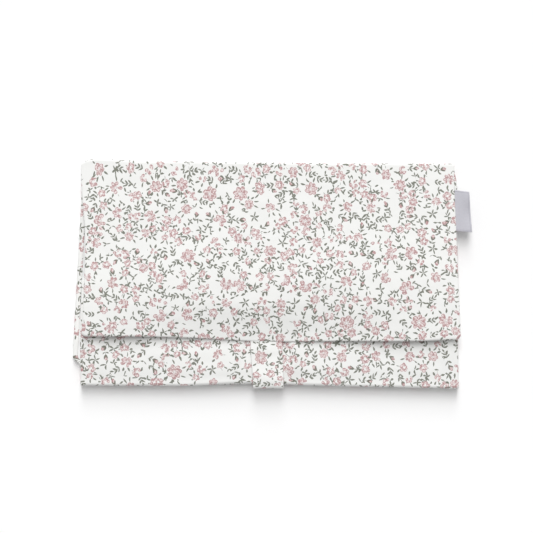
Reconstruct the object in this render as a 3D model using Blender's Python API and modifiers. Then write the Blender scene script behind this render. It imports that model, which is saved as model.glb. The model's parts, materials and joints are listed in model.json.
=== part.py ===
"""Padded travel changing pad, folded in three and held shut by a strap. Metres, +Z up.

The pad is drawn the way it is sewn: every layer is laid out flat, with its printed cover
down at z = 0 and its wipe-clean lining up at z = PAD, and the empties on the crease lines
then fold it. The back panel lies on the surface the pad rests on. Over its far edge
(+Y) the top fold carries the flap, and over its near edge (-Y) the bottom fold carries
the front panel. The front panel lies between the other two and props up the flap's hem.
"""

from math import atan2, cos, hypot, pi, radians, sin, sqrt, tan

import bmesh
import bpy
from mathutils import Matrix, Vector

# Driving dimensions of the folded pad
WIDTH = 0.340
DEPTH = 0.200
PAD = 0.007
LAYER_GAP = 0.0006
TOP_FOLD_HEIGHT = 0.0155
FLAP_LENGTH = 0.158
FRONT_LENGTH = 0.097

# Fabrics and seams
SHEET = 0.001
GAP = 0.0003
FOLD_RADIUS = 0.003
CORNER_RADIUS = 0.0045
MITRE_GAP = 0.0002
ROUNDING_STEPS = 3

# The back panel's left side swells past the flap, most near the bottom fold
SWELL = 0.0075
SWELL_TOP = 0.078
SWELL_BOTTOM = -0.0745
SWELL_END = 0.006
SWELL_END_STEPS = 6

# Closing strap, sewn into the flap's hem
STRAP_WIDTH = 0.0285
STRAP_X = -0.003
STRAP_SHEET = 0.0008
STRAP_OVER_FRONT = 0.0003
STRAP_FROM_HEM = 0.0006
STRAP_SEAM_LEVEL = 0.005
TIP_LENGTH = 0.014

# Hook-and-loop patches
PATCH_WIDTH = 0.024
PATCH_HEIGHT = 0.008
PATCH_THICKNESS = 0.0008
PATCH_LOW_EDGE = 0.0033

# Woven label, sewn into the flap's right seam
LABEL_LENGTH = 0.036
LABEL_WIDTH = 0.0125
LABEL_FROM_FOLD = 0.025
LABEL_FROM_SEAM = 0.0006
LABEL_THICKNESS = 0.0008

# What follows from them
QUARTER_TURN = pi / 2
HALF_DEPTH = DEPTH / 2
BOTTOM_FOLD_HEIGHT = 2 * PAD + LAYER_GAP
STRAP_THICKNESS = 2 * STRAP_SHEET + GAP
STRAP_CORNER_Y = -HALF_DEPTH - 2 * PATCH_THICKNESS - 3 * GAP - STRAP_THICKNESS
STRAP_CORNER_Z = BOTTOM_FOLD_HEIGHT + STRAP_OVER_FRONT + STRAP_THICKNESS
CUTTER_SIZE = 0.03

PRINTED_COTTON = ("printed_cotton", (0.90, 0.88, 0.86), 0.85)
WADDING = ("wadding", (0.93, 0.93, 0.92), 0.95)
LINING = ("wipe_clean_lining", (0.94, 0.94, 0.93), 0.45)
HOOK_TAPE = ("hook_tape", (0.90, 0.90, 0.89), 0.60)
LOOP_TAPE = ("loop_tape", (0.91, 0.91, 0.90), 0.90)
LABEL_RIBBON = ("label_ribbon", (0.50, 0.48, 0.57), 0.70)


def clear_scene():
    for old in list(bpy.data.objects):
        bpy.data.objects.remove(old, do_unlink=True)


def collection(name):
    group = bpy.data.collections.new(name)
    bpy.context.scene.collection.children.link(group)
    return group


def material_for(node, look):
    name, colour, roughness = look
    made = bpy.data.materials.new(f"{node}_{name}")
    made.use_nodes = True
    shader = made.node_tree.nodes["Principled BSDF"]
    shader.inputs["Base Color"].default_value = (*colour, 1.0)
    shader.inputs["Roughness"].default_value = roughness
    shader.inputs["Metallic"].default_value = 0.0
    return made


def crease(name, parent, place, turn):
    """An empty on a joint's axis: what is parented to it is folded through turn about X."""
    axis = bpy.data.objects.new(name, None)
    axis.empty_display_size = 0.02
    axis.parent = parent
    axis.location = place
    axis.rotation_euler = (turn, 0.0, 0.0)
    guides.objects.link(axis)
    return axis


def swollen_side(low_y, high_y, inset):
    """The back panel's left side, low end first: each point's y and how far it stands out.

    It grows evenly from SWELL_TOP down to SWELL_BOTTOM and ends in a quarter of an ellipse.
    """
    points = [(low_y, 0.0)]
    for step in range(SWELL_END_STEPS + 1):
        angle = QUARTER_TURN * step / SWELL_END_STEPS
        y = SWELL_BOTTOM + inset - SWELL_END * cos(angle)
        points.append((y, SWELL * sin(angle)))
    points.append((SWELL_TOP, 0.0))
    points.append((high_y, 0.0))
    return points


def layer_mesh(name, low_y, high_y, low_z, high_z, inset, swollen, lidless):
    """A flat layer of cloth or wadding. A lidless one is a tray: the lining side is open."""
    low_y += inset
    high_y -= inset
    side = swollen_side(low_y, high_y, inset) if swollen else [(low_y, 0.0), (high_y, 0.0)]
    rows = len(side) - 1
    edge = WIDTH / 2 - inset
    mesh = bpy.data.meshes.new(name)
    bm = bmesh.new()
    bmesh.ops.create_grid(bm, x_segments=1, y_segments=rows, size=0.5)
    for vert in bm.verts:
        y, outward = side[round((vert.co.y + 0.5) * rows)]
        x = edge if vert.co.x > 0 else -edge - outward
        vert.co = Vector((x, y, high_z))
    corners = [vert for vert in bm.verts if len(vert.link_edges) == 2]
    bmesh.ops.bevel(
        bm, geom=corners, offset=CORNER_RADIUS - inset, segments=ROUNDING_STEPS,
        profile=0.5, affect="VERTICES",
    )
    bmesh.ops.reverse_faces(bm, faces=bm.faces[:])
    lid = bm.faces[:]
    grown = bmesh.ops.extrude_face_region(bm, geom=bm.faces[:], use_keep_orig=True)
    moved = [item for item in grown["geom"] if isinstance(item, bmesh.types.BMVert)]
    bmesh.ops.translate(bm, verts=moved, vec=(0.0, 0.0, low_z - high_z))
    if lidless:
        bmesh.ops.delete(bm, geom=lid, context="FACES_ONLY")
    else:
        bmesh.ops.recalc_face_normals(bm, faces=bm.faces[:])
    bm.to_mesh(mesh)
    bm.free()
    return mesh


def add_node(name, mesh, parent, look):
    node = bpy.data.objects.new(name, mesh)
    node.parent = parent
    node.data.materials.append(material_for(name, look))
    pad.objects.link(node)
    return node


def round_edges(node, radius):
    bevel = node.modifiers.new("rounded edges", "BEVEL")
    bevel.width = radius
    bevel.segments = ROUNDING_STEPS
    bevel.limit_method = "ANGLE"
    bevel.angle_limit = radians(50)


def mitre_cutter(name, parent, y, outward):
    """A block whose face lies on the 45 degree plane through a crease at y.

    It takes away everything past that plane and a little before it, for a running gap.
    outward is +1 where the crease is at the layers' high-Y end and -1 at their low-Y end.
    """
    bpy.ops.mesh.primitive_cube_add(size=1.0)
    block = bpy.context.active_object
    block.name = name
    block.data.transform(Matrix.Diagonal((2 * WIDTH, CUTTER_SIZE, CUTTER_SIZE, 1.0)))
    block.parent = parent
    middle = (CUTTER_SIZE / 2 - MITRE_GAP) / sqrt(2)
    block.location = (0.0, y + outward * middle, middle)
    block.rotation_euler = (outward * pi / 4, 0.0, 0.0)
    for group in list(block.users_collection):
        group.objects.unlink(block)
    cutters.objects.link(block)
    block.hide_render = True
    block.display_type = "WIRE"
    return block


def cut(node, cutter):
    boolean = node.modifiers.new(cutter.name, "BOOLEAN")
    boolean.operation = "DIFFERENCE"
    boolean.solver = "EXACT"
    boolean.object = cutter


def padded_panel(name, parent, low_y, high_y, mitres, swollen=False, lined=True):
    """Cover, wadding and lining of one stiff stretch of the pad, with mitred fold ends.

    The folds are unlined: between their two mitres the lining is pinched to nothing.
    """
    cover_mesh = layer_mesh(f"{name}_cover", low_y, high_y, 0.0, PAD, 0.0, swollen, True)
    cover = add_node(f"{name}_cover", cover_mesh, parent, PRINTED_COTTON)
    round_edges(cover, FOLD_RADIUS)
    shell = cover.modifiers.new("cloth thickness", "SOLIDIFY")
    shell.thickness = SHEET
    shell.offset = -1.0
    shell.use_even_offset = True

    clear = SHEET + GAP
    wadding_mesh = layer_mesh(
        f"{name}_wadding", low_y, high_y, clear, PAD - clear, clear, swollen, False
    )
    wadding = add_node(f"{name}_wadding", wadding_mesh, parent, WADDING)
    round_edges(wadding, FOLD_RADIUS - clear)

    layers = [cover, wadding]
    if lined:
        lining_mesh = layer_mesh(
            f"{name}_lining", low_y, high_y, PAD - SHEET, PAD, clear, swollen, False
        )
        layers.append(add_node(f"{name}_lining", lining_mesh, parent, LINING))

    for end, outward in mitres:
        place = high_y if outward > 0 else low_y
        block = mitre_cutter(f"{name}_{end}_mitre", parent, place, outward)
        for layer in layers:
            cut(layer, block)


def flat_strip(name, parent, look, x, width, low_y, high_y, low_z, high_z):
    bpy.ops.mesh.primitive_cube_add(size=1.0)
    strip = bpy.context.active_object
    strip.name = name
    size = (width, high_y - low_y, high_z - low_z, 1.0)
    strip.data.transform(Matrix.Diagonal(size))
    strip.location = (x, (low_y + high_y) / 2, (low_z + high_z) / 2)
    strip.parent = parent
    strip.data.materials.append(material_for(name, look))
    for group in list(strip.users_collection):
        group.objects.unlink(strip)
    pad.objects.link(strip)
    return strip


def strap_part(name, parent, length, mitre_at, outward):
    """A printed face and its backing, sewn together, with one mitred end."""
    face = flat_strip(
        f"{name}_face", parent, PRINTED_COTTON, STRAP_X, STRAP_WIDTH,
        0.0, length, 0.0, STRAP_SHEET,
    )
    backing = flat_strip(
        f"{name}_backing", parent, LINING, STRAP_X, STRAP_WIDTH,
        0.0, length, STRAP_SHEET + GAP, STRAP_THICKNESS,
    )
    block = mitre_cutter(f"{name}_mitre", parent, mitre_at, outward)
    cut(face, block)
    cut(backing, block)


def flap_tilt():
    """The flap's slope, which clears the front panel's free edge by LAYER_GAP.

    Bisection on the height of the flap's lining over that edge.
    """
    run = DEPTH - FRONT_LENGTH
    wanted = BOTTOM_FOLD_HEIGHT + LAYER_GAP
    low, high = 0.0, radians(15)
    for _ in range(50):
        middle = (low + high) / 2
        if TOP_FOLD_HEIGHT + run * tan(middle) - PAD / cos(middle) < wanted:
            low = middle
        else:
            high = middle
    return high


clear_scene()
pad = collection("travel_changing_pad")
cutters = collection("mitre_cutters")
guides = collection("crease_axes")

# The strap's seam at the hem, and its way down from there to the bottom fold's corner
tilt = flap_tilt()
seam_y = FLAP_LENGTH + STRAP_FROM_HEM
seam_world_y = HALF_DEPTH - seam_y * cos(tilt) - STRAP_SEAM_LEVEL * sin(tilt)
seam_world_z = TOP_FOLD_HEIGHT + seam_y * sin(tilt) - STRAP_SEAM_LEVEL * cos(tilt)
strap_run = seam_world_y - STRAP_CORNER_Y
strap_drop = seam_world_z - STRAP_CORNER_Z
strap_length = hypot(strap_run, strap_drop)
strap_slope = atan2(strap_drop, strap_run)

# Crease axes, on the outer face of the printed cover, which doesn't stretch
top_axis = crease("top_fold_axis", None, (0.0, HALF_DEPTH, 0.0), QUARTER_TURN)
flap_axis = crease("flap_axis", top_axis, (0.0, TOP_FOLD_HEIGHT, 0.0), QUARTER_TURN - tilt)
bottom_axis = crease("bottom_fold_axis", None, (0.0, -HALF_DEPTH, 0.0), -QUARTER_TURN)
front_axis = crease("front_axis", bottom_axis, (0.0, -BOTTOM_FOLD_HEIGHT, 0.0), -QUARTER_TURN)
strap_axis = crease("strap_axis", flap_axis, (0.0, seam_y, STRAP_SEAM_LEVEL), tilt + strap_slope)
tip_axis = crease("strap_tip_axis", strap_axis, (0.0, strap_length, 0.0), QUARTER_TURN - strap_slope)

# The five stiff stretches of the pad
padded_panel("back", None, -HALF_DEPTH, HALF_DEPTH, [("top", 1), ("bottom", -1)], swollen=True)
padded_panel("top_fold", top_axis, 0.0, TOP_FOLD_HEIGHT, [("back", -1), ("flap", 1)], lined=False)
padded_panel("flap", flap_axis, 0.0, FLAP_LENGTH, [("fold", -1)])
padded_panel(
    "bottom_fold", bottom_axis, -BOTTOM_FOLD_HEIGHT, 0.0, [("back", 1), ("front", -1)], lined=False
)
padded_panel("front", front_axis, -FRONT_LENGTH, 0.0, [("fold", 1)])

# The strap runs from the hem over the front panel, and its tip turns down over the fold
strap_part("strap", strap_axis, strap_length, strap_length, 1)
strap_part("strap_tip", tip_axis, TIP_LENGTH, 0.0, -1)

# The tip's hook patch faces the loop patch on the bottom fold
hook_from = STRAP_CORNER_Z - PATCH_LOW_EDGE - PATCH_HEIGHT
hook_face = STRAP_THICKNESS + GAP
flat_strip(
    "hook_patch", tip_axis, HOOK_TAPE, STRAP_X, PATCH_WIDTH,
    hook_from, hook_from + PATCH_HEIGHT, hook_face, hook_face + PATCH_THICKNESS,
)
flat_strip(
    "loop_patch", bottom_axis, LOOP_TAPE, STRAP_X, PATCH_WIDTH,
    -PATCH_LOW_EDGE - PATCH_HEIGHT, -PATCH_LOW_EDGE, -GAP - PATCH_THICKNESS, -GAP,
)

# The label stands out of the flap's right seam, half way through its thickness
label_x = WIDTH / 2 + LABEL_FROM_SEAM + LABEL_WIDTH / 2
label_low = (PAD - LABEL_THICKNESS) / 2
flat_strip(
    "side_label", flap_axis, LABEL_RIBBON, label_x, LABEL_WIDTH,
    LABEL_FROM_FOLD, LABEL_FROM_FOLD + LABEL_LENGTH, label_low, label_low + LABEL_THICKNESS,
)
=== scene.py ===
import json
from math import atan2, copysign, cos, pi, radians, sin, tan

import bmesh
import bpy
import numpy as np
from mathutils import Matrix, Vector, noise

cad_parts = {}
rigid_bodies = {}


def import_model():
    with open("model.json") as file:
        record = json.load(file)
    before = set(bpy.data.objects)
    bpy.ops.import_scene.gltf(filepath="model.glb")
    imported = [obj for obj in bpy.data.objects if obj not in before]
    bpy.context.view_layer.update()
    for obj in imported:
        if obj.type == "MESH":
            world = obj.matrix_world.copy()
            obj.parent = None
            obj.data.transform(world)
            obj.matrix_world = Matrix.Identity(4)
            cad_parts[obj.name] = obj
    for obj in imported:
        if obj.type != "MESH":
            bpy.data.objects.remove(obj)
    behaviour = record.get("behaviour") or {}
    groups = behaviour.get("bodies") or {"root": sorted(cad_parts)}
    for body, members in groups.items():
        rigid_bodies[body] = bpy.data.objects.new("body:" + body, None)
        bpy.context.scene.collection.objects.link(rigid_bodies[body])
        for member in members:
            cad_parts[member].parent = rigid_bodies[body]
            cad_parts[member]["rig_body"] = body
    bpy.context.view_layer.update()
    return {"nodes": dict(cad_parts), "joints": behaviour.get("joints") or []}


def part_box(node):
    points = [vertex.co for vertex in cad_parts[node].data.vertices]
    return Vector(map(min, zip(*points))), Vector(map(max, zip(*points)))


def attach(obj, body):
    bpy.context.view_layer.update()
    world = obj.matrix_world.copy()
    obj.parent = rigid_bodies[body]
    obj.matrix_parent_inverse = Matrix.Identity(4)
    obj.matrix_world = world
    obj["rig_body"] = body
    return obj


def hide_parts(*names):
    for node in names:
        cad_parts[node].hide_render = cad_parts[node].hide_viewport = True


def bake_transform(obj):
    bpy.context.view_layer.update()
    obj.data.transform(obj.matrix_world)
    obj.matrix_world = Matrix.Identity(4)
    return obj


# The looks of a padded travel changing pad, folded in three and held shut by a strap.
# Every padded panel is drawn flat, with x across it, "along" the distance past its fold and
# "inward" the depth from its printed cover towards its lining, and is then bent round the fold.
# Metres, but for the print, which is in millimetres. The far side is +Y, where the flap folds
# over, and the near side is -Y.

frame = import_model()
joints = {joint["name"]: joint for joint in frame["joints"]}

# Sizes of the frame
back_low, back_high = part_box("back_cover")
PAD = back_high.z
HALF_DEPTH = back_high.y
HALF_WIDTH = back_high.x
SWELL = -back_low.x - HALF_WIDTH
TOP_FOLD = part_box("top_fold_cover")[1].z
BOTTOM_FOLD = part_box("bottom_fold_cover")[1].z
FRONT_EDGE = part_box("front_cover")[1].y
flap_axis = joints["label_flex"]["axis"]
TILT = atan2(flap_axis[2], -flap_axis[1])
flap_low_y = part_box("flap_cover")[0].y
FLAP_LENGTH = (HALF_DEPTH - flap_low_y - PAD * sin(TILT)) / cos(TILT)
STRAP_SEAM = joints["strap_peel"]["pos_m"]
STRAP_CORNER = joints["strap_tip_bend"]["pos_m"]
STRAP_SLOPE = atan2(STRAP_SEAM[2] - STRAP_CORNER[2], STRAP_SEAM[1] - STRAP_CORNER[1])
STRAP_X = (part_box("strap_face")[0].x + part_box("strap_face")[1].x) / 2
LABEL_FROM, LABEL_TO = (
    (HALF_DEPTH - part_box("side_label")[side].y) / cos(TILT) for side in (1, 0)
)

# Padding and cloth. A panel is thin in its fold and reaches its full thickness past it.
FOLD_RADIUS = 0.0024
FOLD_THICKNESS = 0.0022
THIN_UNTIL = 0.0022
FULL_FROM = 0.0115
EDGE_ROUND = 0.0009
EDGE_STEPS = 6
CORNER_RADIUS = 0.0045
SEAM_DEPTH = 0.0003
SEAM_WIDTH = 0.0005
FACING = 0.005
FACING_STEP = 0.0004
LINING_CLOTH = 0.0004
LINING_GAP = 0.0002
BLEND_REACH = 0.0025
CLOTH_UV = "cloth"

# The flap's hem: thinner than the flap, and just clear of the front panel under it
HEM_FROM = 0.035
HEM_THINNING = 0.0026
HEM_CLEARANCE = 0.0006
HEM_EASE = 0.012
BOW_FROM = 0.45

# The strap: how far it draws in the near fold, its two layers, and how it narrows and leans
STRAP_PULL = 0.0020
STRAP_SNUG = 0.0008
STRAP_ROOT = -0.007
STRAP_SINK = 0.0012
STRAP_EDGE = 0.0009
STRAP_FACE = 0.0008
STRAP_BACK_FROM = 0.00088
STRAP_BACKING = 0.0006
STRAP_MARGIN = 0.0006
STRAP_LEAN = 0.0017
STRAP_NARROWING = 0.05
STRAP_BLEND = 0.0018
STRAP_CUT_FROM = (0.31, 0.47)

# The ribbon label, with some of it in the flap's seam
LABEL_SLACK = 0.0012
LABEL_LENGTH = LABEL_TO - LABEL_FROM + LABEL_SLACK
LABEL_ROOT = 0.164
LABEL_REACH = 0.0163
LABEL_HALF = 0.0005
LABEL_RISE = 0.0022
LABEL_LEAN = 0.12

# Spacing of the mesh
FINE = 0.0005
FINE_UNTIL = 0.005
MEDIUM = 0.0011
COARSE = 0.0021
LONGEST = 0.2
LEAST_ROW = 0.0004
ACROSS = 0.0034
BORDER = (0.0023, 0.0030, 0.0038, 0.0045, 0.0050, 0.0055, 0.0066, 0.0082, 0.0102, 0.0125)
STRAP_BEND = 0.0040
STRAP_FINE = 0.0004
STRAP_COARSE = 0.0013
STRAP_LONGEST = 0.04
STRAP_LEAST_ROW = 0.0003

# An end too far away to matter, distances too small to matter, and the sharpest smooth edge
NO_END = 1.0
WELD = 1e-7
ON_EDGE = 1e-6
ALLOWANCE = 0.0001
SHARP = radians(55)

# Headings in the Y-Z section
UP = pi / 2
FAR = 0.0
NEAR = pi
DOWN = 3 * pi / 2


def smooth(low, high, value):
    """0 before low, 1 after high and an S curve between them."""
    share = np.clip((value - low) / (high - low), 0.0, 1.0)
    return share * share * (3.0 - 2.0 * share)


def hump(value, centre, width):
    """1 at the centre, fading away on both sides of it."""
    return np.exp(-(((value - centre) / width) ** 2))


def rise(distance, reach):
    """How full padding is at that distance from an edge."""
    return 1.0 - np.exp(-np.maximum(distance, 0.0) / reach)


def line_through(*knots):
    """A smooth line through (place, value) pairs in rising order, level beyond them."""
    places, values = (np.array(column) for column in zip(*knots))
    slopes = np.gradient(values, places)

    def at(place):
        place = np.clip(place, places[0], places[-1])
        start = np.clip(np.searchsorted(places, place, side="right") - 1, 0, len(places) - 2)
        width = places[start + 1] - places[start]
        t = (place - places[start]) / width
        ends = values[start] * (1 + 2 * t) * (1 - t) ** 2 + values[start + 1] * t * t * (3 - 2 * t)
        bends = slopes[start] * t * (1 - t) ** 2 - slopes[start + 1] * t * t * (1 - t)
        return ends + bends * width

    return at


def ripple(x, y, size, seed):
    """Smooth noise from about -1 to 1 with features of that size."""
    points = np.stack([x, y], axis=-1).reshape(-1, 2) / size
    values = [noise.noise(Vector((px, py, seed))) for px, py in points]
    return np.array(values).reshape(np.shape(x))


def edge_curve(radius, count):
    """Distances from an edge, on a quarter circle that rounds it."""
    return radius * (1 - np.cos(np.linspace(0.0, pi / 2, count)))


def roundness(edge, radius):
    """0 on an edge and 1 from that radius inwards, on a quarter circle."""
    return np.sqrt(1 - np.clip(1 - edge / radius, 0.0, 1.0) ** 2)


class Fold:
    """The line of a panel's outer face in the Y-Z section: straight, round a fold, straight."""

    def __init__(self, corner, before, after, radius):
        self.corner = corner
        self.before = before
        self.after = after
        self.radius = radius
        self.turn = after - before
        self.half_arc = radius * abs(self.turn) / 2
        self.reach = radius * tan(abs(self.turn) / 2)
        self.quarter = copysign(pi / 2, self.turn)

    def past_corner(self, distance):
        """Along the line, the place at that distance from the sharp corner."""
        return distance - copysign(self.reach - self.half_arc, distance)

    def place(self, along, inward):
        """Y and Z of the points at that distance along the line and in from it."""
        share = np.clip((along + self.half_arc) / (2 * self.half_arc), 0.0, 1.0)
        normal = self.before + self.turn * share + self.quarter
        early = np.minimum(along + self.half_arc, 0.0)
        late = np.maximum(along - self.half_arc, 0.0)
        first = self.before + self.quarter
        centre_y = self.corner[0] - self.reach * cos(self.before) + self.radius * cos(first)
        centre_z = self.corner[1] - self.reach * sin(self.before) + self.radius * sin(first)
        y = centre_y + (inward - self.radius) * np.cos(normal)
        z = centre_z + (inward - self.radius) * np.sin(normal)
        y = y + early * cos(self.before) + late * cos(self.after)
        z = z + early * sin(self.before) + late * sin(self.after)
        return y, z

    def blend(self, piece, first_body, second_body, reach):
        """Bakes the piece's placement into its mesh; the two bodies and the reach are not used."""
        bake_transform(piece)


def add_object(name, data):
    """A new object in the scene."""
    made = bpy.data.objects.new(name, data)
    bpy.context.scene.collection.objects.link(made)
    return made


def shell(name, outer, inner, outer_uv, inner_uv, material):
    """A closed mesh between two grids of points, welded where the grids' borders meet."""
    rows, columns = outer.shape[:2]
    count = rows * columns
    number = np.arange(count).reshape(rows, columns)
    quads = np.stack(
        [number[:-1, :-1], number[:-1, 1:], number[1:, 1:], number[1:, :-1]], axis=-1
    ).reshape(-1, 4)
    faces = quads.tolist() + (quads[:, ::-1] + count).tolist()
    points = np.concatenate([outer.reshape(-1, 3), inner.reshape(-1, 3)])
    border = np.concatenate(
        [number[0, :], number[1:, -1], number[-1, -2::-1], number[-2:0:-1, 0]]
    )
    for here, after in zip(border, np.roll(border, -1)):
        gaps = [np.linalg.norm(points[i] - points[i + count]) for i in (here, after)]
        if max(gaps) > WELD:
            faces.append([int(i) for i in (after, here, here + count, after + count)])
    mesh = bpy.data.meshes.new(name)
    mesh.from_pydata(points.tolist(), [], faces)
    layer = mesh.uv_layers.new(name=CLOTH_UV)
    uvs = np.concatenate([outer_uv.reshape(-1, 2), inner_uv.reshape(-1, 2)])
    corners = np.array([corner for face in faces for corner in face])
    layer.data.foreach_set("uv", uvs[corners].astype(np.float32).ravel())
    bm = bmesh.new()
    bm.from_mesh(mesh)
    bmesh.ops.remove_doubles(bm, verts=bm.verts[:], dist=WELD)
    bmesh.ops.recalc_face_normals(bm, faces=bm.faces[:])
    for face in bm.faces:
        face.smooth = True
    for edge in bm.edges:
        edge.smooth = len(edge.link_faces) == 2 and edge.calc_face_angle() < SHARP
    bm.to_mesh(mesh)
    bm.free()
    mesh.materials.append(material)
    return add_object(name, mesh)


def edge_distances():
    """Distances from an edge, round its curve and then across its facing."""
    return np.concatenate([edge_curve(EDGE_ROUND, EDGE_STEPS + 1), BORDER])


def row_places(start, end, free_end):
    """Places along a panel: closest together in the fold, and round a free end's edge."""
    fine = np.arange(0.0, FINE_UNTIL, FINE)
    medium = np.arange(FINE_UNTIL, FULL_FROM, MEDIUM)
    coarse = np.arange(FULL_FROM, LONGEST, COARSE)
    one_side = np.concatenate([fine, medium, coarse])
    places = np.concatenate([-one_side[:0:-1], one_side])
    last = end - BORDER[-1] if free_end else end
    inner = places[(places > start + LEAST_ROW) & (places < last - LEAST_ROW)]
    tail = end - edge_distances()[::-1] if free_end else [end]
    return np.concatenate([[start], inner, tail])


class Layout:
    """The grid of a panel while it lies flat, and how far each point is from its edges."""

    def __init__(self, start, end, free_end, left, right, bow):
        borders = edge_distances()
        inside = np.linspace(0.0, 1.0, round(2 * HALF_WIDTH / ACROSS))[1:-1]
        rows = row_places(start, end, free_end)
        columns = 2 * len(borders) + len(inside)
        shape = (len(rows), columns)
        nominal = np.broadcast_to(rows[:, None], shape)
        left_line, right_line = left(nominal), right(nominal)
        span = right_line - left_line
        from_left = np.zeros(shape)
        from_left[:, : len(borders)] = borders
        from_left[:, -len(borders):] = span[:, :1] - borders[::-1]
        middle = BORDER[-1] + inside * (span[:, :1] - 2 * BORDER[-1])
        from_left[:, len(borders):-len(borders)] = middle
        side = np.where(from_left < span / 2, -1.0, 1.0)
        side_gap = np.minimum(from_left, span - from_left)
        end_gap = end - nominal if free_end else np.full(shape, NO_END)
        side_gap, end_gap, from_curve, at_corner = self.round_corners(side_gap, end_gap)
        self.x = np.where(side < 0, left_line + side_gap, right_line - side_gap)
        self.edge = np.where(at_corner, from_curve, np.minimum(side_gap, end_gap))
        self.along = end - end_gap if free_end else nominal.copy()
        # The direction out of the panel: sideways, along it, or between the two at a corner
        sideways = np.where(side_gap <= end_gap, 1.0, 0.0)
        from_centre = np.hypot(CORNER_RADIUS - side_gap, CORNER_RADIUS - end_gap) + 1e-12
        self.out_x = side * np.where(at_corner, (CORNER_RADIUS - side_gap) / from_centre, sideways)
        self.out_along = np.where(
            at_corner, (CORNER_RADIUS - end_gap) / from_centre, 1.0 - sideways
        )
        if free_end:
            pull = smooth(end * BOW_FROM, end - BORDER[-1], nominal)
            self.along = self.along + bow(self.x) * pull

    @staticmethod
    def round_corners(side_gap, end_gap):
        """Squares at the free corners are pulled in to quarter circles.

        Gives the gaps after that, the distance from the corner's curve and where that holds.
        """
        inside = (side_gap < CORNER_RADIUS) & (end_gap < CORNER_RADIUS)
        a = np.where(inside, 1 - side_gap / CORNER_RADIUS, 0.0)
        b = np.where(inside, 1 - end_gap / CORNER_RADIUS, 0.0)
        round_a = a * np.sqrt(1 - b * b / 2)
        round_b = b * np.sqrt(1 - a * a / 2)
        side_gap = np.where(inside, CORNER_RADIUS * (1 - round_a), side_gap)
        end_gap = np.where(inside, CORNER_RADIUS * (1 - round_b), end_gap)
        from_curve = np.maximum(CORNER_RADIUS * (1 - np.hypot(round_a, round_b)), 0.0)
        return side_gap, end_gap, from_curve, inside


def padded_half(
    name, fold, start, end, left, right, swell, settle, flat_start, flat_way, bodies, stood_for,
    free_end=False, bow=None,
):
    """One fold with half of the panel on one side of it: a padded form and its lining.

    The panel lies past the fold where it has a free end, and before the fold where it hasn't.
    swell gives how far its cover and its lining stand out, and settle moves the bent form.
    On the flat cloth the fold's middle is at flat_start, and flat_way is the way on from there.
    """
    grid = Layout(start, end, free_end, left, right, bow)
    beyond = grid.along if free_end else -grid.along
    thickness = FOLD_THICKNESS + (PAD - FOLD_THICKNESS) * smooth(THIN_UNTIL, FULL_FROM, beyond)
    half = thickness / 2
    curve = np.clip(1 - grid.edge / EDGE_ROUND, 0.0, 1.0)
    fullness = np.sqrt(1 - curve * curve)
    cover_swell, lining_swell = swell(grid)
    seam = np.where(grid.edge < ON_EDGE, SEAM_DEPTH, 0.0)
    x = grid.x - grid.out_x * seam
    along = grid.along - grid.out_along * seam
    cover = half * (1 - fullness) - cover_swell * fullness
    top = half * (1 + fullness) + lining_swell * fullness
    facing_seam = SEAM_DEPTH * hump(grid.edge, FACING, SEAM_WIDTH)
    inside_facing = smooth(FACING - FACING_STEP, FACING, grid.edge)
    under = top - facing_seam - (LINING_CLOTH + LINING_GAP) * inside_facing

    def bent(inward):
        y, z = fold.place(along, inward)
        return np.stack(settle(x, y, z), axis=-1)

    # How much further out a point is on the unfolded cloth than on the flat panel's grid
    angle = np.arccos(curve)
    past_edge = np.maximum(grid.edge - EDGE_ROUND, 0.0)
    round_cover = EDGE_ROUND * (pi / 2 - angle) - np.maximum(EDGE_ROUND - grid.edge, 0.0)
    round_top = EDGE_ROUND * (pi / 2 + angle) + past_edge - (EDGE_ROUND - grid.edge)

    def uv(extra):
        flat = flat_start + flat_way * (grid.along + grid.out_along * extra)
        return np.stack([grid.x + grid.out_x * extra, flat], axis=-1)

    body = shell(f"{name}_pad", bent(cover), bent(under), uv(round_cover), uv(round_top), cotton)
    fold.blend(body, *bodies, BLEND_REACH)
    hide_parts(*stood_for)

    lined = grid.edge > FACING - ALLOWANCE
    across = np.nonzero(lined[0])[0]
    last = np.nonzero(lined[:, lined.shape[1] // 2])[0][-1]
    window = (slice(0, last + 1), slice(across[0], across[-1] + 1))
    face = bent(top)[window]
    below = bent(top - LINING_CLOTH)[window]
    flat_uv = uv(0.0)[window]
    lining_piece = shell(f"{name}_lining_cloth", face, below, flat_uv, flat_uv, lining)
    fold.blend(lining_piece, *bodies, BLEND_REACH)


class Field:
    """A number or vector that varies over a surface, for building shader nodes like sums."""

    def __init__(self, tree, socket):
        self.tree = tree
        self.socket = socket

    def node(self, kind, operation, *values):
        made = self.tree.nodes.new(kind)
        made.operation = operation
        for slot, value in zip(made.inputs, values):
            if isinstance(value, Field):
                self.tree.links.new(value.socket, slot)
            else:
                slot.default_value = value
        return Field(self.tree, made.outputs[0])

    def math(self, operation, *values):
        return self.node("ShaderNodeMath", operation, self, *values)

    def __add__(self, other):
        return self.math("ADD", other)

    def __sub__(self, other):
        return self.math("SUBTRACT", other)

    def __mul__(self, other):
        return self.math("MULTIPLY", other)

    def __truediv__(self, other):
        return self.math("DIVIDE", other)

    def size(self):
        return self.math("ABSOLUTE")

    def vector(self, operation, *values):
        return self.node("ShaderNodeVectorMath", operation, self, *values)

    def parts(self):
        made = self.tree.nodes.new("ShaderNodeSeparateXYZ")
        self.tree.links.new(self.socket, made.inputs[0])
        return [Field(self.tree, made.outputs[i]) for i in range(3)]

    def below(self, limit, softness=0.12):
        """1 where this is under the limit and 0 where it is over it, with a soft edge."""
        gap = (self - limit) * (-1.0 / softness) + 0.5
        return gap.math("MAXIMUM", 0.0).math("MINIMUM", 1.0)


def base_material(name, roughness):
    """(material, its node tree, its shader)."""
    material = bpy.data.materials.new(name)
    material.use_nodes = True
    tree = material.node_tree
    shader = tree.nodes["Principled BSDF"]
    shader.inputs["Roughness"].default_value = roughness
    return material, tree, shader


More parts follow.
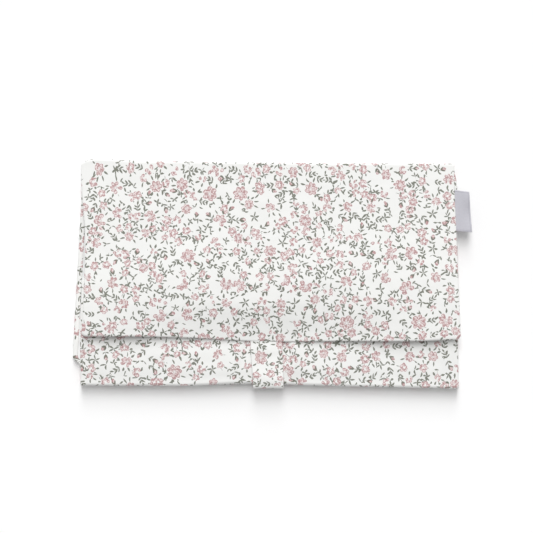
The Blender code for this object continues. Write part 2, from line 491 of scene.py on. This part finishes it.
def cloth_place(tree):
    """The place on the cloth, in millimetres."""
    layer = tree.nodes.new("ShaderNodeUVMap")
    layer.uv_map = CLOTH_UV
    return Field(tree, layer.outputs["UV"]).vector("MULTIPLY", (1000.0, 1000.0, 0.0))


def noise_field(tree, place, scale, detail=2.0, output="Fac"):
    made = tree.nodes.new("ShaderNodeTexNoise")
    made.noise_dimensions = "2D"
    made.inputs["Scale"].default_value = scale
    made.inputs["Detail"].default_value = detail
    tree.links.new(place.socket, made.inputs["Vector"])
    return Field(tree, made.outputs[output])


def colour_mix(tree, share, first, second):
    """second over first, by share. A colour is a Field or three numbers."""
    made = tree.nodes.new("ShaderNodeMix")
    made.data_type = "RGBA"
    tree.links.new(share.socket, made.inputs["Factor"])
    for slot, colour in zip(("A", "B"), (first, second)):
        socket = next(i for i in made.inputs if i.name == slot and i.type == "RGBA")
        if isinstance(colour, Field):
            tree.links.new(colour.socket, socket)
        else:
            socket.default_value = (*colour, 1.0)
    return Field(tree, next(o for o in made.outputs if o.type == "RGBA"))


def add_bump(tree, shader, height, distance, strength=1.0):
    """A bump of that distance in metres, on top of what bump the shader has already."""
    made = tree.nodes.new("ShaderNodeBump")
    made.inputs["Distance"].default_value = distance
    made.inputs["Strength"].default_value = strength
    tree.links.new(height.socket, made.inputs["Height"])
    normal = shader.inputs["Normal"]
    if normal.links:
        tree.links.new(normal.links[0].from_socket, made.inputs["Normal"])
    tree.links.new(made.outputs["Normal"], normal)


def weave(place, pitch):
    """Plain weave: threads over and under each other, from about -1 to 1."""
    x, y, _ = place.vector("MULTIPLY", (pi / pitch, pi / pitch, 0.0)).parts()
    return x.math("SINE") * y.math("SINE")


def voronoi(tree, place, spacing, randomness):
    """Cells of about that spacing, more or less regular."""
    cells = tree.nodes.new("ShaderNodeTexVoronoi")
    cells.voronoi_dimensions = "2D"
    cells.inputs["Scale"].default_value = 1.0 / spacing
    cells.inputs["Randomness"].default_value = randomness
    tree.links.new(place.socket, cells.inputs["Vector"])
    return cells


class Scatter:
    """Motifs on jittered places: each one's own axes, turned at random, and its random numbers."""

    def __init__(self, tree, place, spacing, shift, jitter):
        shift = (shift, -0.7 * shift, 0.0)
        moved = place.vector("ADD", shift)
        cells = voronoi(tree, moved, spacing, jitter)
        centre = Field(tree, cells.outputs["Position"])
        across, up, _ = moved.vector("SUBTRACT", centre).parts()
        self.centre = centre.vector("SUBTRACT", shift)
        self.first, self.second, self.third = Field(tree, cells.outputs["Color"]).parts()
        turn = self.first * (2 * pi)
        c, s = turn.math("COSINE"), turn.math("SINE")
        self.x = across * c - up * s
        self.y = across * s + up * c
        self.radius = (self.x * self.x + self.y * self.y).math("SQRT")
        self.angle = self.y.math("ARCTAN2", self.x)

    def is_between(self, low, high):
        """1 for the motifs whose third random number lies there, so that each has one kind."""
        return self.third.math("GREATER_THAN", low) * self.third.math("LESS_THAN", high)


def per_motif_chance(tree, motif, number):
    """A random number for each motif and whole number, such as one petal of one flower."""
    made = tree.nodes.new("ShaderNodeTexWhiteNoise")
    made.noise_dimensions = "2D"
    pair = tree.nodes.new("ShaderNodeCombineXYZ")
    tree.links.new(number.socket, pair.inputs[0])
    tree.links.new((motif.first * 50.0).socket, pair.inputs[1])
    tree.links.new(pair.outputs[0], made.inputs["Vector"])
    return Field(tree, made.outputs["Value"])


def over(*layers):
    """Every layer's ink, where any of them has it."""
    together = layers[0]
    for layer in layers[1:]:
        together = together.math("MAXIMUM", layer)
    return together


def turned(x, y, angle, root):
    """The same place on axes that start at root on the x axis and are turned by that angle."""
    x = x - root
    return x * cos(angle) + y * sin(angle), y * cos(angle) - x * sin(angle)


def leaf(x, y, length, half_width):
    """A pointed leaf that lies along x from the start of the axes."""
    along = x / length
    return y.size().below(along * (along * -1.0 + 1.0) * (4 * half_width), 0.22)


def oval(x, y, half_length, half_width):
    """How far out a place is in an oval: 1 on its edge."""
    x, y = x / half_length, y / half_width
    return (x * x + y * y).math("SQRT")


def blossom(tree, motif, size, petals, missing):
    """(petals, their dark lines): oval petals round an open centre, a few of them missing."""
    turns = motif.angle * petals * (0.5 / pi)
    number = turns.math("FLOOR")
    aside = (turns - number - 0.5) * (2 * pi) / petals
    out = motif.radius * aside.math("COSINE") / size - 0.63
    across = motif.radius * aside.math("SINE") / size * petals * 0.48
    petal = oval(out, across, 0.38, 1.0)
    drawn = per_motif_chance(tree, motif, number).math("GREATER_THAN", missing)
    whole = petal.below(1.0, 0.16) * drawn
    rim = (petal - 0.88).size().below(0.13, 0.12) * out.math("GREATER_THAN", -0.22) * whole
    vein = across.size().below(0.12, 0.12) * out.below(-0.02, 0.2) * whole
    return whole, over(rim, vein)


def leaves_around(tree, motif, start, length, count, missing):
    """Leaves that point away from a motif's middle and lean to one side, some of them missing."""
    places = motif.angle * (count / (2 * pi))
    number = places.math("FLOOR")
    aside = (places - number - 0.5) * (2 * pi / count) * motif.radius
    past = motif.radius - start
    lean = aside + (motif.second - 0.5) * past * 0.8
    shown = per_motif_chance(tree, motif, number + 31.0).math("GREATER_THAN", missing)
    return leaf(past, lean, length, 0.72) * shown


def spray(motif):
    """A bent stem with two pairs of leaves, and one leaf at its tip."""
    y = motif.y - motif.x * motif.x * (motif.second - 0.5) * 0.16
    stem = y.size().below(0.16, 0.2) * motif.x.size().below(3.6)
    low_pair = leaf(*turned(motif.x, y.size(), radians(40), -3.6), 4.2, 0.72)
    high_pair = leaf(*turned(motif.x, y.size(), radians(36), -0.6), 4.0, 0.70)
    tip = leaf(motif.x - 2.2, y, 3.8, 0.68)
    return over(stem, low_pair, high_pair, tip)


def rosebud(motif):
    """(stem, calyx and leaves; petals; their dark lines): a closed flower from the side."""
    y = motif.y - motif.x * motif.x * (motif.second - 0.5) * 0.12
    out = oval(motif.x - 1.3, y, 2.5, 1.5)
    petals = out.below(1.0, 0.2)
    curl = (y + (motif.x * 1.1).math("SINE") * 0.35).size().below(0.2, 0.25)
    lines = over((out - 0.85).size().below(0.16, 0.2), curl) * petals
    stem = y.size().below(0.20, 0.2) * (motif.x + 3.2).size().below(2.6)
    calyx = leaf(*turned(motif.x, y.size(), radians(27), -1.9), 4.4, 0.70)
    pair = leaf(*turned(motif.x, y.size(), radians(46), -5.2), 4.0, 0.70)
    return over(stem, calyx, pair), petals, lines


# A motif's third random number says which kind it is: the limits between a floret, a rosebud,
# a spray and a leaf star, with the first and the last limit beyond any number
MOTIF_SHARES = (-1.0, 0.56, 0.77, 0.93, 2.0)


def large_flowers(tree, place):
    """The large flower nearest to each place."""
    return Scatter(tree, place, 29.0, 0.0, 0.80)


def large_flower_size(motif):
    """Its radius in millimetres: most are near the smallest, and a few are much larger."""
    return motif.second * motif.second * 2.6 + 4.2


def small_motifs(tree, place):
    """The smaller motif nearest to each place."""
    return Scatter(tree, place, 10.6, 57.0, 0.72)


def floral_cotton():
    """White cotton with a small scattered print: dusty pink flowers and grey-green leaves."""
    material, tree, shader = base_material("ditsy floral cotton", 0.85)
    shader.inputs["Sheen Weight"].default_value = 0.08
    shader.inputs["Specular IOR Level"].default_value = 0.25
    place = cloth_place(tree)
    drift = noise_field(tree, place, 0.16, 1.0, "Color").vector("SUBTRACT", (0.5, 0.5, 0.5))
    drawn = place.vector("ADD", drift.vector("MULTIPLY", (2.4, 2.4, 0.0)))

    # Large double flowers, with leaves round them
    large = large_flowers(tree, drawn)
    large_size = large_flower_size(large)
    petal_count = (large.third * 3.0 + 5.6).math("ROUND")
    large_flower, large_lines = blossom(tree, large, large_size, petal_count, 0.08)
    stamens = (large.radius / large_size - 0.17).size().below(0.06, 0.1)
    stamens = stamens * (large.angle * 9.0).math("SINE").below(0.2, 0.4)
    large_leaves = leaves_around(tree, large, large_size, 4.4, 9.0, 0.40)
    clear = large.radius.below(large_size + 0.4, 0.3) * -1.0 + 1.0

    # One smaller motif in each place between them: a floret, a rosebud, a spray or a leaf star
    small = small_motifs(tree, drawn)
    nearest_large = large_flowers(tree, small.centre)
    nearest_size = large_flower_size(nearest_large)
    room = (nearest_large.radius - nearest_size).math("GREATER_THAN", 3.0)
    small_size = small.second * 1.4 + 3.0
    floret, floret_lines = blossom(tree, small, small_size, 5.0, 0.14)
    floret_leaves = leaves_around(tree, small, small_size - 0.2, 4.2, 7.0, 0.42)
    bud_leaves, bud, bud_lines = rosebud(small)
    kinds = zip(MOTIF_SHARES[:-1], MOTIF_SHARES[1:])
    is_floret, is_bud, is_spray, is_star = (small.is_between(*kind) * room for kind in kinds)
    star = leaves_around(tree, small, 0.1, 4.9, 5.0, 0.10)
    petals = over(floret * is_floret, bud * is_bud)
    petal_lines = over(floret_lines * is_floret, bud_lines * is_bud)
    leaves = over(
        floret_leaves * is_floret, bud_leaves * is_bud, spray(small) * is_spray, star * is_star
    )

    # Small sprays where there is room left
    filler = Scatter(tree, drawn, 8.4, 23.0, 0.85)
    nearest_small = small_motifs(tree, filler.centre)
    beside_large = large_flowers(tree, filler.centre)
    free = nearest_small.radius.math("GREATER_THAN", 4.0)
    free = free * beside_large.radius.math("GREATER_THAN", 7.5)
    filling = leaves_around(tree, filler, -0.4, 4.2, 5.0, 0.48) * free
    leaves = over(leaves, filling * (petals * -1.0 + 1.0)) * clear
    leaves = over(leaves, large_leaves * clear)

    # Ink: uneven, and washed out here and there inside the petals
    patchy = noise_field(tree, place, 0.9, 3.0)
    ground = (0.86, 0.862, 0.845)
    rose_ink = (0.43, 0.24, 0.245)
    green = colour_mix(tree, patchy, (0.07, 0.075, 0.058), (0.29, 0.30, 0.245))
    strokes = noise_field(tree, place, 0.55, 2.0).below(0.49, 0.10)
    wash = colour_mix(tree, strokes, (0.83, 0.735, 0.725), (0.50, 0.32, 0.32))
    tint = colour_mix(tree, petals * clear, ground, wash)
    tint = colour_mix(tree, petal_lines * clear * 0.8, tint, rose_ink)
    tint = colour_mix(tree, leaves * 0.95, tint, green)
    tint = colour_mix(tree, large_flower, tint, wash)
    tint = colour_mix(tree, over(large_lines, stamens) * 0.85, tint, rose_ink)
    tree.links.new(tint.socket, shader.inputs["Base Color"])

    add_bump(tree, shader, noise_field(tree, place, 0.035, 2.0), 0.0012)
    add_bump(tree, shader, weave(place, 0.4), 0.00004, 0.6)
    return material


def wipe_clean_cloth():
    """Smooth white coated cloth with a fine diamond grain."""
    material, tree, shader = base_material("wipe-clean lining", 0.42)
    place = cloth_place(tree)
    patchy = noise_field(tree, place, 0.05, 3.0)
    tint = colour_mix(tree, patchy, (0.82, 0.825, 0.82), (0.87, 0.875, 0.87))
    tree.links.new(tint.socket, shader.inputs["Base Color"])
    x, y, _ = place.parts()
    grain = ((x + y) * (pi / 1.4)).math("SINE") * ((x - y) * (pi / 1.4)).math("SINE")
    add_bump(tree, shader, noise_field(tree, place, 0.06, 2.0), 0.0010)
    add_bump(tree, shader, grain, 0.00006, 0.6)
    return material


def label_ribbon():
    """Woven satin ribbon with a darker line just inside its edges."""
    material, tree, shader = base_material("label ribbon", 0.55)
    shader.inputs["Sheen Weight"].default_value = 0.15
    place = cloth_place(tree)
    across, down, _ = place.parts()
    gap = (across - LABEL_REACH * 1000).size()
    gap = gap.math("MINIMUM", down.size()).math("MINIMUM", (down - LABEL_LENGTH * 1000).size())
    line = (gap - 1.3).size().below(0.25, 0.2)
    patchy = noise_field(tree, place, 0.6, 3.0)
    tint = colour_mix(tree, patchy, (0.50, 0.495, 0.545), (0.56, 0.555, 0.605))
    tint = colour_mix(tree, line * 0.6, tint, (0.36, 0.35, 0.41))
    tree.links.new(tint.socket, shader.inputs["Base Color"])
    twill = ((across + down * 2.0) * (2 * pi / 0.6)).math("SINE")
    add_bump(tree, shader, twill, 0.00004, 0.7)
    return material


def tape(name, tint, spacing, depth):
    """Hook or loop tape: close rows of hooks, or a felt of loops, with painted shade between them.
    """
    material, tree, shader = base_material(name, 0.8)
    place = cloth_place(tree)
    dots = Field(tree, voronoi(tree, place, spacing, 0.35).outputs["Distance"])
    # Painted shade: the tint darkens away from each hook or loop, where the bump is lowest
    darker = tuple(0.72 * part for part in tint)
    tint_with_painted_shade = colour_mix(tree, dots, tint, darker)
    tree.links.new(tint_with_painted_shade.socket, shader.inputs["Base Color"])
    add_bump(tree, shader, dots * -1.0, depth)
    return material


cotton = floral_cotton()
lining = wipe_clean_cloth()

# The four folds that the padded halves bend round
back_far_fold = Fold((HALF_DEPTH, 0.0), FAR, UP, FOLD_RADIUS)
flap_fold = Fold((HALF_DEPTH, TOP_FOLD), UP, NEAR - TILT, FOLD_RADIUS)
back_near_fold = Fold((-HALF_DEPTH, 0.0), NEAR, UP, FOLD_RADIUS)
front_fold = Fold((-HALF_DEPTH, BOTTOM_FOLD), UP, FAR, FOLD_RADIUS)


def back_left(y):
    """The back's left side: it swells out towards a rounded step near the near fold."""
    grown = np.clip((0.078 - y) / 0.1525, 0.0, 1.0) * smooth(-0.0825, -0.0735, y)
    return -HALF_WIDTH + 0.0020 * smooth(0.080, 0.100, y) - SWELL * grown


def back_right(y):
    """The back's right side, which is drawn in a little at the far fold."""
    return HALF_WIDTH - 0.0004 - 0.0025 * smooth(0.080, 0.100, y)


far_line = line_through(
    (-0.170, 0.0012), (-0.1655, 0.0038), (-0.159, 0.0053), (-0.148, 0.0053), (-0.130, 0.0043),
    (-0.060, 0.0029), (0.030, 0.0018), (0.170, 0.0011),
)


def far_settle(x, y, z):
    """The far fold stands out further towards its left end, and is a little uneven."""
    upper = smooth(0.003, 0.011, z) * smooth(0.080, 0.0965, y)
    puff = far_line(x) + 0.0003 * ripple(x, np.zeros_like(x), 0.040, 3.0)
    return x, y + puff * upper, z


lying = line_through(
    (-0.170, 0.35), (-0.150, 0.3), (-0.128, 0.4), (-0.098, 0.8), (-0.070, 1.0), (0.050, 1.0),
    (0.085, 0.7), (0.125, 0.4), (0.150, 0.35), (0.170, 0.45),
)


def hem_drop(x, y):
    """How far the flap is let down to lie just clear of the front panel, past its far edge.

    It is let down less towards the hem's two ends, which stand off.
    """
    past = FRONT_EDGE - y
    drop = tan(TILT) * (past + np.sqrt(past * past + HEM_EASE**2)) / 2
    return lying(x) * (drop - HEM_CLEARANCE * smooth(-0.020, 0.010, past))


def flap_settle(x, y, z):
    """The flap also sags where nothing props it up, and its thinner hem lies lower."""
    x, y, z = far_settle(x, y, z)
    inside = rise(HALF_WIDTH - np.abs(x), 0.035)
    sag = 0.0013 * hump(y, 0.048, 0.034) * inside
    lower = HEM_THINNING * lying(x) * smooth(flap_low_y + HEM_FROM, flap_low_y, y)
    return x, y, z - sag - lower - hem_drop(x, y)


near_line = line_through(
    (-0.170, 0.0002), (-0.070, 0.0003), (-0.030, 0.0018), (-0.003, STRAP_PULL), (0.030, 0.0006),
    (0.070, -0.0004), (0.115, -0.0014), (0.165, -0.0026),
)


def near_settle(x, y, z):
    """The near fold is drawn in by the strap and stands out towards its right end."""
    upper = smooth(0.0, 0.003, z) * smooth(-0.080, -0.096, y)
    beside_strap = 1.0 - hump(x, STRAP_X, 0.020)
    uneven = 0.0004 * ripple(x, np.zeros_like(x), 0.045, 8.0) * beside_strap
    return x, y + (near_line(x) + uneven) * upper, z


def back_far_swell(grid):
    """The back is puffed between the front panel and the far fold."""
    y = HALF_DEPTH + grid.along
    puffed = 0.0016 * hump(y, 0.048, 0.026) * smooth(0.0, 0.02, y) * rise(grid.edge, 0.012)
    return np.zeros_like(y), puffed


def back_near_swell(grid):
    """The back lies flat under the front panel."""
    level = np.zeros_like(grid.along)
    return level, level


def flap_swell(grid):
    """The flap is crowned, and its hem is thinner, most of all in the middle."""
    along = grid.along
    past_fold = smooth(0.004, 0.045, along)
    crown = 0.0011 * rise(grid.edge, 0.016) * past_fold
    uneven = 0.0006 * ripple(grid.x, along, 0.055, 1.0) * past_fold
    uneven += 0.0003 * ripple(grid.x, along, 0.024, 6.0) * past_fold
    pressed = 0.0016 * hump(grid.x, 0.0, 0.110)
    at_hem = smooth(FLAP_LENGTH - HEM_FROM, FLAP_LENGTH, along)
    cover = crown + uneven * rise(grid.edge, 0.008) - pressed * at_hem
    under = 0.0010 * hump(along, 0.052, 0.026) * rise(grid.edge, 0.012)
    return cover, under - HEM_THINNING * at_hem


def front_swell(grid):
    """Fullest at its two ends, where the flap's hem stands off, and puckered beside the strap."""
    x, along = grid.x, grid.along
    seen = smooth(0.046, 0.026, along) * smooth(0.003, 0.016, along)
    room = rise(grid.edge, 0.007)
    ends = hump(np.abs(x), 0.163, 0.010) * hump(along, 0.038, 0.020)
    swell = 0.0010 * seen + 0.0026 * ends
    swell += 0.0007 * seen * ripple(x, along, 0.030, 4.0)
    away = 1.0 - hump(x, STRAP_X, 0.019) * smooth(0.060, 0.045, along)
    beside = np.abs(x - STRAP_X)
    deeper = smooth(-0.010, 0.010, x - STRAP_X)
    from_hem = 0.04 - along
    ridge = (0.0013 + 0.0010 * deeper) * hump(beside, 0.0235 + 0.10 * from_hem, 0.0035)
    valley = (0.0010 + 0.0008 * deeper) * hump(beside, 0.0175 + 0.30 * from_hem, 0.0020)
    puckers = (ridge - valley) * smooth(0.043, 0.034, along) * smooth(0.002, 0.016, along)
    return (swell * away + puckers) * room, np.zeros_like(along)


flap_left = line_through(
    (-0.008, -0.1694), (0.000, -0.1694), (0.010, -0.1698), (0.028, -0.1686), (0.055, -0.1662),
    (0.105, -0.1658), (0.140, -0.1672), (0.158, -0.1684),
)
flap_right = line_through(
    (-0.008, 0.1671), (0.000, 0.1664), (0.040, 0.1668), (0.070, 0.1677), (0.115, 0.1690),
    (0.158, 0.1706),
)
front_left = line_through((-0.008, -0.1700), (0.006, -0.1692), (0.020, -0.1697), (0.097, -0.1690))
front_right = line_through((-0.008, 0.1696), (0.006, 0.1692), (0.020, 0.1690), (0.097, 0.1675))
hem_bow = line_through(
    (-0.170, -0.0026), (-0.150, -0.0025), (-0.116, -0.0024), (-0.060, -0.0007), (-0.009, 0.0020),
    (0.060, 0.0017), (0.135, 0.0015), (0.170, 0.0002),
)
straight = line_through((-0.2, 0.0), (0.2, 0.0))

far_start = back_far_fold.past_corner(-HALF_DEPTH)
far_end = back_far_fold.past_corner(TOP_FOLD / 2)
flap_start = flap_fold.past_corner(-TOP_FOLD / 2)
near_start = back_near_fold.past_corner(-HALF_DEPTH)
near_end = back_near_fold.past_corner(BOTTOM_FOLD / 2)
front_start = front_fold.past_corner(-BOTTOM_FOLD / 2)
near_flat = HALF_DEPTH + far_start + near_start

padded_half(
    "back_far", back_far_fold, far_start, far_end,
    left=lambda along: back_left(HALF_DEPTH + along),
    right=lambda along: back_right(HALF_DEPTH + along),
    swell=back_far_swell, settle=far_settle, flat_start=HALF_DEPTH, flat_way=1.0,
    bodies=("back", "top_fold"),
    stood_for=("back_cover", "back_wadding", "back_lining", "top_fold_wadding"),
)
padded_half(
    "back_near", back_near_fold, near_start, near_end,
    left=lambda along: back_left(-HALF_DEPTH - along),
    right=lambda along: back_right(-HALF_DEPTH - along),
    swell=back_near_swell, settle=near_settle, flat_start=near_flat, flat_way=-1.0,
    bodies=("back", "bottom_fold"), stood_for=("bottom_fold_wadding",),
)
padded_half(
    "flap", flap_fold, flap_start, flap_fold.past_corner(FLAP_LENGTH),
    left=flap_left, right=flap_right, swell=flap_swell, settle=flap_settle,
    flat_start=HALF_DEPTH + far_end - flap_start, flat_way=1.0, bodies=("top_fold", "flap"),
    stood_for=("flap_cover", "flap_wadding", "flap_lining", "top_fold_cover"),
    free_end=True, bow=hem_bow,
)
padded_half(
    "front", front_fold, front_start, front_fold.past_corner(HALF_DEPTH + FRONT_EDGE),
    left=front_left, right=front_right, swell=front_swell, settle=near_settle,
    flat_start=near_flat - near_end + front_start, flat_way=-1.0, bodies=("bottom_fold", "front"),
    stood_for=("front_cover", "front_wadding", "front_lining", "bottom_fold_cover"),
    free_end=True, bow=straight,
)

# The strap: a printed face and a backing, in two halves, each bending at one end
strap_heading = NEAR + STRAP_SLOPE
strap_seam_fold = Fold((STRAP_SEAM[1], STRAP_SEAM[2]), NEAR - TILT, strap_heading, 0.020)
strap_tip_fold = Fold((STRAP_CORNER[1], STRAP_CORNER[2]), strap_heading, DOWN, 0.0028)
strap_length = (STRAP_SEAM[1] - STRAP_CORNER[1]) / cos(STRAP_SLOPE)
tip_length = STRAP_CORNER[2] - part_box("strap_tip_face")[0].z
half_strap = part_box("strap_face")[1].x - STRAP_X


def strap_rows(start, end, free_end):
    """Places along half of the strap, closest together where it bends and at a free end."""
    before = np.arange(-STRAP_LONGEST, -STRAP_BEND, STRAP_COARSE)
    round_bend = np.arange(-STRAP_BEND, STRAP_BEND, STRAP_FINE)
    after = np.arange(STRAP_BEND, STRAP_LONGEST, STRAP_COARSE)
    places = np.concatenate([before, round_bend, after])
    last = end - 2 * STRAP_EDGE if free_end else end
    inner = places[(places > start + STRAP_LEAST_ROW) & (places < last - STRAP_LEAST_ROW)]
    tail = end - edge_curve(STRAP_EDGE, 5)[::-1] if free_end else [end]
    return np.concatenate([[start], inner, tail])


def strap_half(name, fold, start, end, free_end, from_seam, bodies, stood_for):
    """Half of the strap. It narrows and leans to the right on its way down from the hem."""
    rows = strap_rows(start, end, free_end)
    sides = np.concatenate([edge_curve(STRAP_EDGE, 5), [0.0016, 0.0026]])
    inside = np.linspace(-1.0, 1.0, 18)

    def bent(x, along, inward):
        """Round the fold, then under the flap's hem and round the drawn-in near fold."""
        y, z = fold.place(along, inward)
        lower_half = smooth(strap_length * 0.5, strap_length, along + from_seam)
        snug = (STRAP_PULL + STRAP_SNUG) * lower_half
        let_down = hem_drop(x, y) * smooth(-0.100, -0.060, y)
        sunk = STRAP_SINK * smooth(-0.070, -0.060, y)
        return np.stack([x, y + snug, z - let_down - sunk], axis=-1)

    for layer, low, thick, margin in (
        ("face", 0.0, STRAP_FACE, 0.0), ("backing", STRAP_BACK_FROM, STRAP_BACKING, STRAP_MARGIN),
    ):
        width = half_strap - margin
        offsets = np.concatenate(
            [-width + sides, inside * (width - 0.0038), (width - sides)[::-1]]
        )
        u, along = np.meshgrid(offsets / half_strap, rows)
        down = along + from_seam
        share = smooth(0.0, strap_length, down)
        narrow = 1.0 - STRAP_NARROWING * share
        x = STRAP_X + STRAP_LEAN * share + u * half_strap * narrow
        edge = np.minimum(width - np.abs(u) * half_strap, end - along if free_end else NO_END)
        fullness = roundness(edge, STRAP_EDGE)
        flat_part = smooth(-0.001, 0.006, down) * smooth(strap_length, strap_length - 0.008, down)
        lift = 0.0007 * (1 - u * u) * flat_part
        lift = lift + 0.0004 * ripple(x, down, 0.011, 12.0) * flat_part
        outer = bent(x, along, low + thick / 2 * (1 - fullness) - lift)
        inner = bent(x, along, low + thick / 2 * (1 + fullness) - lift)
        flat_uv = np.stack([x + STRAP_CUT_FROM[0], STRAP_CUT_FROM[1] - down], axis=-1)
        cloth = cotton if layer == "face" else lining
        piece = shell(f"strap_{name}_{layer}", outer, inner, flat_uv, flat_uv, cloth)
        fold.blend(piece, *bodies, STRAP_BLEND)
        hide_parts(f"{stood_for}_{layer}")
        size = (2 * width, float(end - start))


strap_half(
    "upper", strap_seam_fold, STRAP_ROOT, strap_seam_fold.past_corner(strap_length / 2),
    free_end=False, from_seam=0.0, bodies=("flap", "strap"), stood_for="strap",
)
strap_half(
    "lower", strap_tip_fold, strap_tip_fold.past_corner(-strap_length / 2),
    strap_tip_fold.past_corner(tip_length),
    free_end=True, from_seam=strap_length, bodies=("strap", "strap_tip"), stood_for="strap_tip",
)


# The hook-and-loop patches, one on the strap's tip and one on the near fold
PATCH_EDGE = 0.0004
PATCH_ROUND = 0.35
PATCH_BORDER = 0.002
PATCH_SEAM = 0.0011


def patch(name, node, material, base_y, facing):
    """A patch that stands on base_y and faces that way, with softened edges and a sewn border."""
    low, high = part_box(node)
    thick = high.y - low.y
    near_seam = [0.0007, 0.0009, PATCH_SEAM, 0.0013, 0.0016]
    steps = np.concatenate([edge_curve(PATCH_EDGE, 4), near_seam])

    def line(start, end, count):
        inside = np.linspace(start + PATCH_BORDER, end - PATCH_BORDER, count)
        return np.concatenate([start + steps, inside, (end - steps)[::-1]])

    x, z = np.meshgrid(line(low.x, high.x, 24), line(low.z, high.z, 8))
    edge = np.minimum(np.minimum(x - low.x, high.x - x), np.minimum(z - low.z, high.z - z))
    fullness = roundness(edge, PATCH_EDGE)
    sewn = 0.0002 * hump(edge, PATCH_SEAM, 0.00025)
    top = thick * (PATCH_ROUND + (1 - PATCH_ROUND) * fullness) - sewn
    base = thick * PATCH_ROUND * (1 - fullness)
    outer = np.stack([x, base_y + facing * top, z], axis=-1)
    inner = np.stack([x, base_y + facing * base, z], axis=-1)
    flat_uv = np.stack([x, z], axis=-1)
    piece = shell(name, outer, inner, flat_uv, flat_uv, material)
    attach(piece, frame["nodes"][node]["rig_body"])
    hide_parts(node)


hook = tape("hook tape", (0.74, 0.74, 0.73), 0.9, 0.0004)
loop = tape("loop tape", (0.76, 0.76, 0.75), 0.5, 0.0003)
hook_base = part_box("hook_patch")[0].y + STRAP_PULL
loop_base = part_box("loop_patch")[1].y + STRAP_PULL
patch("hook_tape_patch", "hook_patch", hook, hook_base, 1.0)
patch("loop_tape_patch", "loop_patch", loop, loop_base, -1.0)


def side_label():
    """A folded ribbon sewn into the flap's right seam; its cut ends are at its two short sides."""
    curve = edge_curve(LABEL_HALF, 5)
    inset = 0.0012
    middle = np.linspace(inset, LABEL_LENGTH - inset, 26)
    down = np.concatenate([curve, middle, (LABEL_LENGTH - curve)[::-1]])
    out = np.concatenate([np.linspace(0.0, LABEL_REACH - inset, 14), (LABEL_REACH - curve)[::-1]])
    v, u = np.meshgrid(out, down)
    edge = np.minimum(np.minimum(u, LABEL_LENGTH - u), LABEL_REACH - v)
    fullness = roundness(edge, LABEL_HALF)
    share = u / LABEL_LENGTH
    free = smooth(0.005, LABEL_REACH, v)
    x = LABEL_ROOT + v * (0.955 + 0.13 * share)
    top_edge = flap_fold.past_corner(LABEL_FROM) - LABEL_RISE
    along = top_edge + u + LABEL_LEAN * v * (1 - 0.2 * share)
    curl = 0.0011 * free * np.sin(2.4 * share * pi + 0.6) - 0.0008 * free

    def bent(side):
        y, z = flap_fold.place(along, PAD / 2 - curl + side * LABEL_HALF * 0.8 * fullness)
        return np.stack([x, y, z], axis=-1)

    flat_uv = np.stack([v, u], axis=-1)
    piece = shell("side_label_ribbon", bent(-1.0), bent(1.0), flat_uv, flat_uv, label_ribbon())
    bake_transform(piece)
    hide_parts("side_label")


side_label()


def look_from(thing, direction):
    """Turns a camera or a sun to look back along that direction."""
    thing.rotation_mode = "QUATERNION"
    thing.rotation_quaternion = (-direction).to_track_quat("-Z", "Y")


# Camera at the photograph's angle, nearly straight down
CAMERA_DISTANCE = 1.5
CAMERA_ELEVATION = radians(87)
CAMERA_TARGET = Vector((-0.0029, 0.0076, 0.012))
FIELD_WIDTH = 0.4787
camera_data = bpy.data.cameras.new("camera")
camera_data.sensor_width = 36.0
camera_data.lens = camera_data.sensor_width * CAMERA_DISTANCE / FIELD_WIDTH
camera = add_object("camera", camera_data)
backwards = Vector((0.0, -cos(CAMERA_ELEVATION), sin(CAMERA_ELEVATION)))
camera.location = CAMERA_TARGET + backwards * CAMERA_DISTANCE
look_from(camera, backwards)
bpy.context.scene.camera = camera

# Three wide suns on the far side, one above another, as one soft light, and a white room
SUNS = ((31, 0.77), (51, 1.06), (71, 0.77))
SUN_WIDTH = radians(24)
ROOM_LIGHT = 0.42
for elevation, energy in SUNS:
    sun_data = bpy.data.lights.new(f"soft key {elevation}", "SUN")
    sun_data.energy = energy
    sun_data.angle = SUN_WIDTH
    sun = add_object(sun_data.name, sun_data)
    look_from(sun, Vector((0.0, cos(radians(elevation)), sin(radians(elevation)))))
room = bpy.data.worlds.new("white room")
room.use_nodes = True
background = room.node_tree.nodes["Background"]
background.inputs["Color"].default_value = (1.0, 1.0, 1.0, 1.0)
background.inputs["Strength"].default_value = ROOM_LIGHT
bpy.context.scene.world = room
bpy.context.scene.view_settings.view_transform = "Standard"

# Pale floor, a little below the pad
FLOOR_REACH = 60.0
FLOOR_DROP = 0.0003
floor_mesh = bpy.data.meshes.new("floor")
floor_corners = [
    (across * FLOOR_REACH, along * FLOOR_REACH, 0.0)
    for across, along in ((-1, -1), (1, -1), (1, 1), (-1, 1))
]
floor_mesh.from_pydata(floor_corners, [], [(0, 1, 2, 3)])
floor = add_object("floor", floor_mesh)
floor_material, _, floor_shader = base_material("pale floor", 0.9)
floor_shader.inputs["Base Color"].default_value = (0.97, 0.97, 0.97, 1.0)
floor_shader.inputs["Specular IOR Level"].default_value = 0.0
floor_mesh.materials.append(floor_material)
floor.location.z = -FLOOR_DROP
